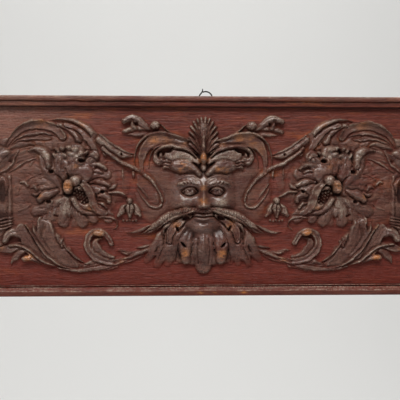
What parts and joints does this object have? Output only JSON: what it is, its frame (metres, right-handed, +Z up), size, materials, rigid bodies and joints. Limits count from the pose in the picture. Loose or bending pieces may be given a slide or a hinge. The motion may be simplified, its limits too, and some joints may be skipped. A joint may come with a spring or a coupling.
{
  "type": "carved wall panel",
  "caption": "Long carved oak relief panel with a foliate mask between two scrolling acanthus roundels, moulded edges and a hanging ring on the back.",
  "frame": {"origin": "where the nail bears, at the top of the inside of the hanging ring", "axes": "+Z up, +X along the panel, the carved front facing -Y and the back facing +Y towards the wall"},
  "size_m": [0.76, 0.057, 0.3335],
  "materials": {
    "oak": "dark stained oak, waxed, rubbed lighter on the high carving",
    "brass": "darkened with age"
  },
  "bodies": {
    "root": {"carved_panel": "oak", "top_moulding": "oak", "bottom_moulding": "oak", "screw_eye": "brass", "hanging_ring": "brass"}
  },
  "joints": []
}
